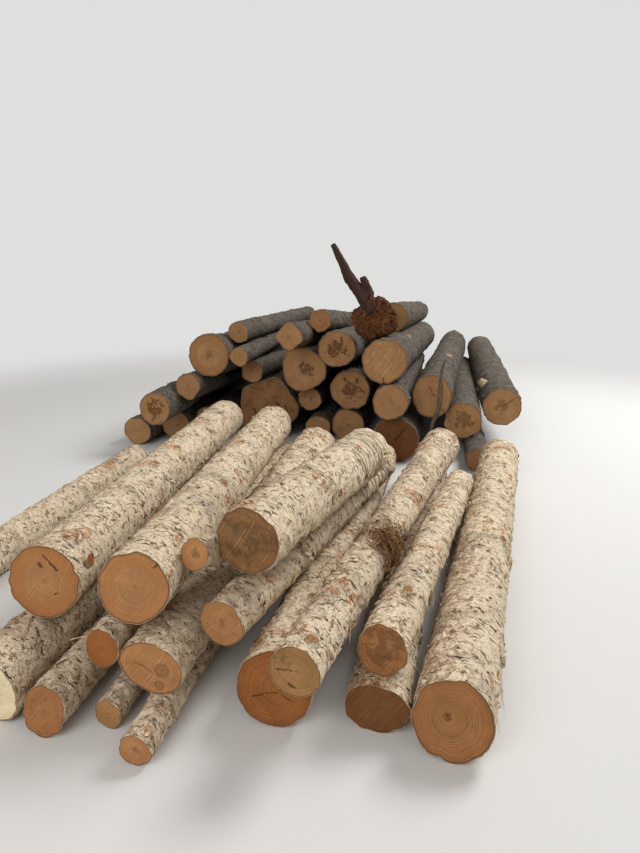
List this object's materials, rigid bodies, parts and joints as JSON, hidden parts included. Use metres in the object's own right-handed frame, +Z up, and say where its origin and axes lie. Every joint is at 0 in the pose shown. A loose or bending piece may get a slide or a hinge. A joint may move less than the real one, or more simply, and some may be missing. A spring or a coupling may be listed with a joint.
{
  "type": "stack of logs",
  "caption": "Heap of round pine logs in two rows with sawn ends to the front, a rotten stump on top and a stick leaning on the back row.",
  "frame": {"origin": "middle of the heap's footprint, on the ground", "axes": "+Z up, +Y from the front row to the back row along the logs, +X to the right of someone who faces the cut ends"},
  "size_m": [3.721, 5.9206, 1.5589],
  "materials": {
    "pine_log": "grey-pink flaking bark, tan sawn ends",
    "rotten_wood": "crumbling reddish brown",
    "weathered_stick": "grey weathered"
  },
  "bodies": {
    "root": {"back_log_01": "pine_log", "back_log_02": "pine_log", "back_log_03": "pine_log", "back_log_04": "pine_log", "back_log_05": "pine_log", "back_log_06": "pine_log", "back_log_07": "pine_log", "back_log_08": "pine_log", "back_log_09": "pine_log", "back_log_10": "pine_log", "back_log_11": "pine_log", "back_log_12": "pine_log", "back_log_13": "pine_log", "back_log_14": "pine_log", "back_log_15": "pine_log", "back_log_16": "pine_log", "back_log_17": "pine_log", "back_log_18": "pine_log", "back_log_19": "pine_log", "back_log_20": "pine_log", "back_log_21": "pine_log", "back_log_22": "pine_log", "back_log_23": "pine_log", "back_log_24": "pine_log", "back_log_25": "pine_log", "back_log_26": "pine_log", "front_log_01": "pine_log", "front_log_02": "pine_log", "front_log_03": "pine_log", "front_log_04": "pine_log", "front_log_05": "pine_log", "front_log_06": "pine_log", "front_log_07": "pine_log", "front_log_08": "pine_log", "front_log_09": "pine_log", "front_log_10": "pine_log", "front_log_11": "pine_log", "front_log_12": "pine_log", "front_log_13": "pine_log", "front_log_14": "pine_log", "front_log_15": "pine_log", "front_log_16": "pine_log", "front_log_17": "pine_log", "leaning_stick": "weathered_stick", "rotten_stump": "rotten_wood"}
  },
  "joints": []
}
